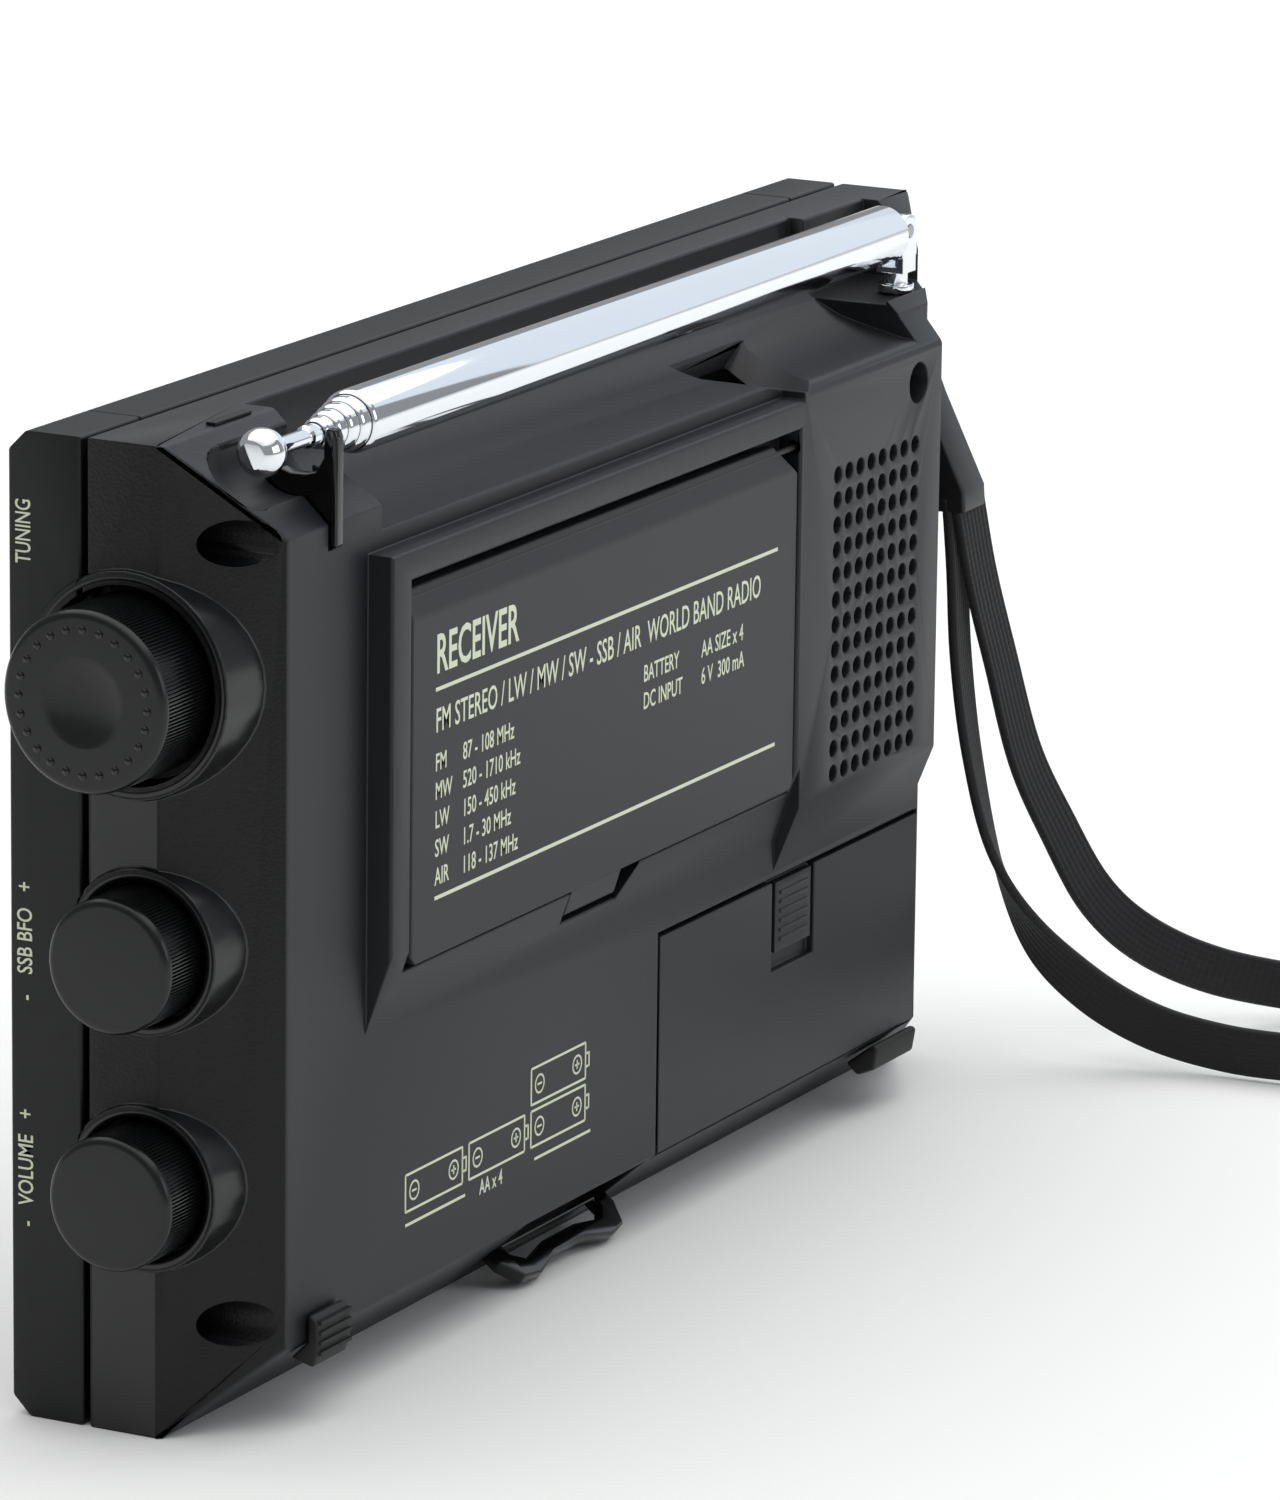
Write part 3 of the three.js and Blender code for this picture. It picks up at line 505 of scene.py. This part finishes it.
# %% Back half
VENT_RADIUS = 1.06
rim = [(VENT_RADIUS * math.cos(a * math.pi / 10), VENT_RADIUS * math.sin(a * math.pi / 10))
       for a in range(20)]
# The cutting pins carry the near-black painted shade meant for the insides of the vent holes.
pin = prism("vent_pin", rim, "y", 8, 25, shadow_black)
to_wall = Matrix(((1, 0, 0, -0.05585), (0, 0, -1, 0), (0, 1, 0, 0.0683), (0, 0, 0, 1)))
for v in pin.data.vertices:
    v.co = to_wall.to_3x3().inverted() @ v.co
pins = repeat("vent_pins", grid_tree, to_wall, Columns=8, Rows=13, Width=0.0217, Depth=0.0378, Shape=pin,
              Material=shadow_black)
back = rounded("case_back", ["back_shell"], "case", abs_matte, 0.5, 28, pins, 0.35)
bpy.data.objects.remove(pins)
back.data.materials.append(abs_leather)
back.data.materials.append(abs_gloss)
BEVEL_NORMAL = Vector((14.5 - 3.3, 93.5 - 85.3)).normalized()
# Each knob's centre in Y and Z, its radius, the X of its face, and its collar's radius.
KNOBS = {"tuning": (-0.9, 86.7, 10.4, 103.5, 13), "bfo": (0.9, 56.5, 7.8, 101.5, 9.65),
         "volume": (0.9, 29.2, 7.8, 101.5, 9.65)}


def flare_share(p):
    """True where a face belongs to a collar's flare."""
    for y, z, _, _, collar in KNOBS.values():
        reach = math.hypot(p.center.y * 1000 - y, p.center.z * 1000 - z)
        off_bevel = abs(p.normal.x - BEVEL_NORMAL.x) > 0.02
        if collar - 2 < reach < collar + 3.4 and off_bevel and p.center.x > 0.0832:
            return True
    return False


for p in back.data.polygons:
    if flare_share(p):
        p.material_index = 2
    elif p.normal.x > 0.6 and p.center.x > 0.08:
        p.material_index = 1
print("back half faces:", len(back.data.polygons))

# %% Front half and its end caps
rounded("case_front", ["front_panel"], "case", abs_smooth, 0.45, share=0.5)
rounded("end_cap_knobs", ["front_cheek_right"], "case", abs_smooth, 0.45, share=0.4)
rounded("end_cap_sockets", ["front_cheek_left"], "case", abs_smooth, 0.45, share=0.4)
rounded("groove_inlay_bar", ["groove_inlay"], "case", abs_smooth, 0.08)
for name, (y, z, r, face, collar) in KNOBS.items():
    inner = collar - 1.55
    arc = [(93.55 + 0.82 * math.sin(a), (inner + collar) / 2 + (collar - inner) / 2 * math.cos(a))
           for a in (math.pi * k / 10 for k in range(11))]
    lip = spun(f"{name}_collar_lip", [(92.2, collar), *arc, (92.2, inner)], y, z, abs_gloss, 120, True)
    finish_piece(lip, "case", [])
print("case pieces done")

# %% [markdown]
# ## Knobs
# Each knob is a turned cap with a straight knurl. The large one has 150 ridges, a dimple for a
# fingertip and 24 raised beads. A ridge is a small wedge with its point outwards, so that light
# breaks on it in fine lines. The ring tree stands the wedges round the cap.

# %% Knob caps, knurls and beads
TO_X = Matrix(((0, 0, 1), (1, 0, 0), (0, 1, 0))).to_4x4()


def cap_profile(r, face, dimple):
    start = [(91.0, r - 2), (91.0, r - 0.4), (91.3, r - 0.25), (face - 1.2, r - 0.25),
             (face - 1.05, r - 0.02),
             (face - 0.85, r), (face - 0.55, r - 0.09), (face - 0.3, r - 0.26), (face - 0.12, r - 0.5),
             (face - 0.03, r - 0.78), (face, r - 1.05)]
    if dimple:
        bowl = [(face - 0.85 * (1 - (k / 8) ** 2), 5.1 * k / 8) for k in range(8, -1, -1)]
        return [*start, (face, 5.25), *bowl]
    return [*start, (face, 0)]


def knurl(name, y, z, r, x0, x1, count):
    """Ridges round a cap, from x0 to x1."""
    half = math.pi * r / count * 0.8
    ridge = prism("ridge", [(-0.28, -half), (0.0, -half * 0.25), (0.0, half * 0.25), (-0.28, half)], "z",
                  x0, x1, knob_plastic)
    place = Matrix.Translation((0, y / 1000, z / 1000)) @ TO_X
    return repeat(name, ring_tree, place, Count=count, Radius=r / 1000, Shape=ridge, Material=knob_plastic)


for name, (y, z, r, face, collar) in KNOBS.items():
    cap = spun(f"{name}_cap", cap_profile(r, face, name == "tuning"), y, z, knob_plastic, 128)
    joined(cap, knurl("knurl", y, z, r, 91.8, face - 1.0, 150 if name == "tuning" else 116))
    if name == "tuning":
        dome = [(face - 0.2, 0.5), (face + 0.1, 0.47), (face + 0.26, 0.3), (face + 0.33, 0)]
        bead = spun("bead", dome, 0, 0, black_gloss, 14)
        bead.data.transform(TO_X.inverted())
        place = Matrix.Translation((0, y / 1000, z / 1000)) @ TO_X
        beads = repeat("beads", ring_tree, place, Count=24, Radius=0.0082, Shape=bead, Material=black_gloss)
        for p in beads.data.polygons:
            p.use_smooth = True
        joined(cap, beads)
    finish_piece(cap, name, [f"{name}_knob"])
    print(name, "knob faces:", len(cap.data.polygons))

# %% [markdown]
# ## Antenna
# Six drawn tubes nest in one another, and each end is rolled in to keep the next from pulling
# out. Those rolled ends show as a stack of thin bright rings. The tip is a ball with a flat end.

# %% Antenna tubes, rod and tip
AERIAL_Y, AERIAL_Z, POST_X = 10.2, 112.3, -75.9
RADII = [3.65, 3.15, 2.7, 2.25, 1.8]
BODIES = ["antenna_base_tube", *[f"antenna_section_{k}" for k in range(2, 6)]]
for i, (r, body) in enumerate(zip(RADII, BODIES)):
    x0, x1 = POST_X + (3.6 if i == 0 else 7 + i * 1.5), 64.5 + 1.9 * i
    profile = [(x0, 0), (x0, r - 0.5), (x0 + 0.15, r - 0.15), (x0 + 0.5, r), (x1 - 0.75, r),
               (x1 - 0.4, r - 0.06), (x1 - 0.12, r - 0.2), (x1, r - 0.38), (x1 - 0.05, r - 0.42),
               (x1 - 2.4, r - 0.44), (x1 - 2.4, 0)]
    if i > 0:
        profile[0:4] = [(x0, 0), (x0, r - 0.1), (x0 + 0.1, r)]
    tube = spun(f"antenna_tube_{i + 1}", profile, AERIAL_Y, AERIAL_Z, chrome, 64)
    if i == 0:
        eye = [(POST_X + 2.05 * math.sin(a), AERIAL_Z - 2.05 * math.cos(a)) for a in
               (math.pi * (1 + k / 12) for k in range(13))]
        tongue = prism("tongue", [*eye, (x0 + 0.4, AERIAL_Z - 2.05), (x0 + 0.4, AERIAL_Z + 2.05)][::-1], "y",
                       AERIAL_Y - 0.8, AERIAL_Y + 0.8, chrome)
        joined(tube, tongue)
    finish_piece(tube, body, ["antenna_tube" if i == 0 else body])
BALL_END = 85.9
ball = [(83.6 + 2.8 * -math.cos(a), 2.8 * math.sin(a))
        for a in (math.pi * (0.2 + 0.6 * k / 20) for k in range(21))]
rod = [(72.4, 0), (72.4, 1.3), (73.9, 1.32), (74.2, 1.0), (80.9, 1.0), (81.2, 1.25)]
tip = spun("antenna_ball", [*rod, *ball, (BALL_END, 1.5), (BALL_END, 0)], AERIAL_Y, AERIAL_Z, chrome, 64)
inner = spun("rod_inner", [(-60, 0), (-60, 1.3), (72.35, 1.3), (72.35, 0)], AERIAL_Y, AERIAL_Z, chrome, 32)
joined(tip, inner)
finish_piece(tip, "antenna_end", ["antenna_rod", "antenna_tip"])
rounded("antenna_pivot_post", ["antenna_post"], "antenna_swivel", chrome, 0.12, 30)
rounded("antenna_pivot_pin", ["antenna_pin"], "antenna_swivel", steel, 0.08, 40)
rounded("antenna_rest_clip", ["antenna_clip"], "case", black_gloss, 0.3, 30)
print("antenna done, tip at", BALL_END)

# %% [markdown]
# ## Stand, battery door, bail and feet
# These are flat mouldings in the same grained ABS, with seams of 0.3 to 0.5 mm round them. The
# near foot has ribs, which the grid tree lays out.

# %% Hinged parts
def stand_body():
    """The stand as a solid plate, its top band sloping back, with its pull tab and cut corner."""
    profile = [(15.1, 49.6), (17.6, 49.6), (17.6, 89.9), (16.7, 93.5), (15.1, 93.5)]
    plate = prism("stand_plate", profile, "x", -34.3, 62.5, abs_matte)
    bm = bmesh.new()
    bm.from_mesh(plate.data)
    parts = (((-0.0343, 0, 0.0893), (-0.621, 0, 0.784)), ((-0.0343, 0, 0.0508), (-1, 0, -1)),
             ((0.0625, 0, 0.0508), (1, 0, -1)))
    for at, direction in parts:
        cutting = bmesh.ops.bisect_plane(bm, geom=[*bm.verts, *bm.edges, *bm.faces], plane_co=at,
                                         plane_no=direction, clear_outer=True)
        rim = [g for g in cutting["geom_cut"] if isinstance(g, bmesh.types.BMEdge)]
        bmesh.ops.edgenet_fill(bm, edges=rim)
    bmesh.ops.recalc_face_normals(bm, faces=bm.faces)
    bm.to_mesh(plate.data)
    bm.free()
    tab = prism("tab", [(14.3, 46), (15.5, 46), (16.7, 49.7), (15.1, 49.7)], "x", 9, 21.6, abs_matte)
    return joined(plate, tab)


plate = stand_body()
weigh_edges(plate.data, 8, 0.5)
bevelled(plate, 0.4)
finish_piece(plate, "kickstand", ["kickstand"])
pivot = spun("stand_pin", [(-36.3, 0), (-36.3, 0.4), (64.5, 0.4), (64.5, 0)], 16.6, 92.4, blackened, 20)
finish_piece(pivot, "case", ["kickstand_pin"])
rounded("door_plate", ["battery_door"], "battery_door", abs_matte, 0.25, 30)
rounded("door_latch_pad", ["door_latch"], "door_latch", abs_matte, 0.12, 30)
rounded("table_bail", ["fold_out_bail"], "bail", black_gloss, 0.3, 30)
rounded("far_foot", ["rear_foot_far"], "case", rubber, 0.4, 30)
foot = rounded("near_foot", ["rear_foot_near"], "case", rubber, 0.35, 30)
bar = prism("foot_bar", [(-0.4, -0.25), (0.3, -0.2), (0.3, 0.2), (-0.4, 0.25)], "x", -3.5, 3.5, rubber)
for v in bar.data.vertices:
    v.co = Vector((v.co.x, v.co.z, v.co.y))
upright = Matrix(((1, 0, 0, 0.0772), (0, 0, 1, 0.0162), (0, 1, 0, 0.0104), (0, 0, 0, 1)))
joined(foot, repeat("foot_bars", grid_tree, upright, Columns=1, Rows=4, Width=0.0, Depth=0.0036, Shape=bar,
                    Material=rubber))
print("hinged parts done")

# %% Screws, front controls and what is inside
for name in ("case_screw_top", "case_screw_bottom", "case_screw_far"):
    rounded(name + "_head", [name], "case", steel, 0.08, 40)
for name in ("power_key", "light_key", "band_key", "page_key", "store_key"):
    rounded(name + "_cap", [name], name, key_plastic, 0.35, 40)
rounded("number_keys", ["number_pad"], "case", silicone, 0.3, 40)
rounded("display_lens", ["display_window"], "case", window, 0.2, 40)
rounded("sensitivity_switch", ["gain_switch"], "gain_switch", black_gloss, 0.15, 40)
rounded("strap_crimp_fold", ["strap_crimp"], "case", crimp_vinyl, 0.5, 25)
PLAIN = {
    "speaker_grille": black_gloss, "speaker_basket": steel, "speaker_magnet": ferrite, "speaker_cone": paper,
    "lcd_module": lcd, "main_board": board, "ferrite_rod": ferrite, "headphone_jack": black_gloss,
    "power_jack": black_gloss, "tuning_encoder": steel, "bfo_pot": steel, "volume_pot": steel,
    "tuning_shaft": steel, "bfo_shaft": steel, "volume_shaft": steel, "battery_contact_near": steel,
    "battery_contact_far": steel, "battery_contact_upper": steel, "cell_1": cell_wrap, "cell_2": cell_wrap,
    "cell_3": cell_wrap, "cell_4": cell_wrap,
}
for name, material in PLAIN.items():
    nodes[name].data.materials.clear()
    nodes[name].data.materials.append(material)
print("frame nodes painted:", len(PLAIN))

# %% [markdown]
# ## Print
# The labels are screen-printed in one pale ink about 0.02 mm thick. The words here are plain
# ones that any receiver could carry. Text starts as a font curve and is made a mesh before it is
# placed, with its reading direction and its up direction given as vectors.

# %% Put flat print on a surface
def printed(name, body, text, size, origin, across, upward, squeeze=0.8, bold=0.025):
    """Text at origin in millimetres, reading along across, with its letters' tops to upward."""
    data = bpy.data.curves.new(name, "FONT")
    data.body = text
    data.size = size / 1000
    data.extrude = 0.00001
    data.offset = bold / 1000
    data.resolution_u = 3
    holder = bpy.data.objects.new(name + "_text", data)
    bpy.context.scene.collection.objects.link(holder)
    graph = bpy.context.evaluated_depsgraph_get()
    graph.update()
    mesh = bpy.data.meshes.new_from_object(holder.evaluated_get(graph))
    bpy.data.objects.remove(holder)
    a, u = Vector(across).normalized(), Vector(upward).normalized()
    matrix = Matrix((a * squeeze, u, a.cross(u))).transposed().to_4x4()
    matrix.translation = Vector(origin) / 1000
    mesh.transform(matrix)
    mesh.materials.clear()
    mesh.materials.append(ink)
    obj = bpy.data.objects.new(name, mesh)
    bpy.context.scene.collection.objects.link(obj)
    finish_piece(obj, body, [])
    return obj


def strokes(name, body, lines, y, thick=0.02):
    """Straight print lines [(x0, z0, x1, z1, width)] on a back-facing surface at y."""
    points, faces = [], []
    for x0, z0, x1, z1, width in lines:
        along = Vector((x1 - x0, 0, z1 - z0)).normalized()
        side = Vector((-along.z, 0, along.x)) * width / 2
        a, b = Vector((x0, y, z0)), Vector((x1, y, z1))
        base = len(points)
        ring = [a + side, a - side, b - side, b + side]
        points += ring + [p + Vector((0, thick, 0)) for p in ring]
        quads = [(0, 1, 2, 3), (4, 7, 6, 5), (0, 4, 5, 1), (1, 5, 6, 2), (2, 6, 7, 3), (3, 7, 4, 0)]
        faces += [tuple(base + i for i in q) for q in quads]
    obj = mesh_object(name, points, faces, ink)
    bm = bmesh.new()
    bm.from_mesh(obj.data)
    bmesh.ops.recalc_face_normals(bm, faces=bm.faces)
    bm.to_mesh(obj.data)
    bm.free()
    finish_piece(obj, body, [])
    return obj


# %% Labels on the stand
LEFT, UPWARD = (-1, 0, 0), (0, 0, 1)
STAND_FACE = 17.6
printed("label_title", "kickstand", "RECEIVER", 6.4, (57, STAND_FACE, 82.8), LEFT, UPWARD, 0.72, bold=0.1)
strokes("label_rules", "kickstand", [(57, 80.9, -29, 80.9, 0.45), (57, 56.5, -29, 56.5, 0.45)], STAND_FACE)
printed("label_bands", "kickstand", "FM STEREO / LW / MW / SW - SSB / AIR  WORLD BAND RADIO", 4.0,
        (57, STAND_FACE, 75.9), LEFT, UPWARD, 0.735)
rows = [("FM", "87 - 108 MHz"), ("MW", "520 - 1710 kHz"), ("LW", "150 - 450 kHz"), ("SW", "1.7 - 30 MHz"),
        ("AIR", "118 - 137 MHz")]
for i, (band, reach) in enumerate(rows):
    z = 71.4 - i * 3.35
    printed(f"label_band_{i}", "kickstand", band, 2.9, (57, STAND_FACE, z), LEFT, UPWARD, 0.76)
    printed(f"label_reach_{i}", "kickstand", reach, 2.9, (50.5, STAND_FACE, z), LEFT, UPWARD, 0.76)
supply = [("BATTERY", "AA SIZE x 4"), ("DC INPUT", "6 V  300 mA")]
for i, (what, value) in enumerate(supply):
    z = 71.4 - i * 3.35
    printed(f"label_supply_{i}", "kickstand", what, 2.9, (6, STAND_FACE, z), LEFT, UPWARD, 0.76)
    printed(f"label_value_{i}", "kickstand", value, 2.9, (-9, STAND_FACE, z), LEFT, UPWARD, 0.76)

# %% Battery diagram and knob labels
lines = [(57.8, 17.4, 43.5, 17.4, 0.35), (26.5, 17.4, 12.4, 17.4, 0.35)]


def cell_outline(x, z, w=13.6, h=4.4):
    """One cell drawn in outline, its nub to the right, with its two signs in rings."""
    made = [(x, z, x - w, z, 0.3), (x, z + h, x - w, z + h, 0.3), (x, z, x, z + h, 0.3),
            (x - w, z, x - w, z + h, 0.3)]
    made += [(x - w, z + 1.4, x - w - 0.9, z + 1.4, 0.3), (x - w, z + 3, x - w - 0.9, z + 3, 0.3),
             (x - w - 0.9, z + 1.3, x - w - 0.9, z + 3.1, 0.3)]
    for centre, plus in ((x - 2.1, False), (x - w + 2.1, True)):
        ring = [(centre + 1.1 * math.cos(a), z + h / 2 + 1.1 * math.sin(a)) for a in
                (2 * math.pi * k / 14 for k in range(15))]
        made += [(*a, *b, 0.25) for a, b in zip(ring, ring[1:])]
        made.append((centre - 0.55, z + h / 2, centre + 0.55, z + h / 2, 0.25))
        if plus:
            made.append((centre, z + h / 2 - 0.55, centre, z + h / 2 + 0.55, 0.25))
    return made


for x, z in ((57.8, 19), (42.6, 19), (27.4, 19), (27.4, 24.2)):
    lines += cell_outline(x, z)
strokes("battery_diagram", "case", lines, 14.5)
printed("battery_label", "case", "AA x 4", 2.6, (40, 14.5, 16.5), LEFT, UPWARD, 0.75)
SIDE = (0, 0, 1), (0, -1, 0)
printed("tuning_label", "case", "TUNING", 2.8, (93.5, -13.6, 98.9), *SIDE, 0.68)
printed("bfo_label", "case", "-    SSB BFO   +", 2.8, (93.5, -13.6, 48.8), *SIDE, 0.76)
printed("volume_label", "case", "-   VOLUME   +", 2.8, (93.5, -13.6, 22.4), *SIDE, 0.76)
print("labels done")

# %% [markdown]
# ## Floor and light
# A white floor, three large soft boxes and a broad skylight give the pale, almost shadowless look
# of a catalogue picture. The world is a soft white too, because chrome shows what surrounds it.

# %% Floor
floor_white, tree, shader = new_material("matte_white_paper", "#f4f4f2", 0.9)
floor = mesh_object("floor", [(-4000, -4000, 0), (4000, -4000, 0), (4000, 4000, 0), (-4000, 4000, 0)],
                    [(0, 1, 2, 3)], floor_white)

# %% Lights
world = bpy.data.worlds.new("studio")
bpy.context.scene.world = world
world.use_nodes = True
world.node_tree.nodes["Background"].inputs["Color"].default_value = colour("#f6f8fb")
world.node_tree.nodes["Background"].inputs["Strength"].default_value = 0.34


def soft_box(name, at, aim, size, watts, tint):
    lamp = bpy.data.lights.new(name, "AREA")
    lamp.shape = "RECTANGLE"
    lamp.size, lamp.size_y = size
    lamp.energy = watts
    lamp.color = colour(tint)[:3]
    obj = bpy.data.objects.new(name, lamp)
    bpy.context.scene.collection.objects.link(obj)
    obj.location = at
    obj.rotation_euler = (Vector(aim) - Vector(at)).to_track_quat("-Z", "Y").to_euler()
    return obj


soft_box("overhead", (-0.5, -0.2, 1.3), (-0.5, -0.2, 0), (2.4, 2.4), 16, "#ffffff")
soft_box("rear_fill", (-0.2, 1.3, 0.5), (0, 0, 0.06), (0.9, 0.6), 3, "#f4f8ff")
soft_box("far_panel", (-1.3, 0.15, 0.55), (0, 0, 0.08), (1.4, 1.0), 3.2, "#dfeaf5")
sky = bpy.data.lights.new("skylight", "SUN")
sky.energy = 1.15
sky.angle = math.radians(100)
skylight = bpy.data.objects.new("skylight", sky)
bpy.context.scene.collection.objects.link(skylight)
bpy.context.scene.view_settings.view_transform = "Standard"
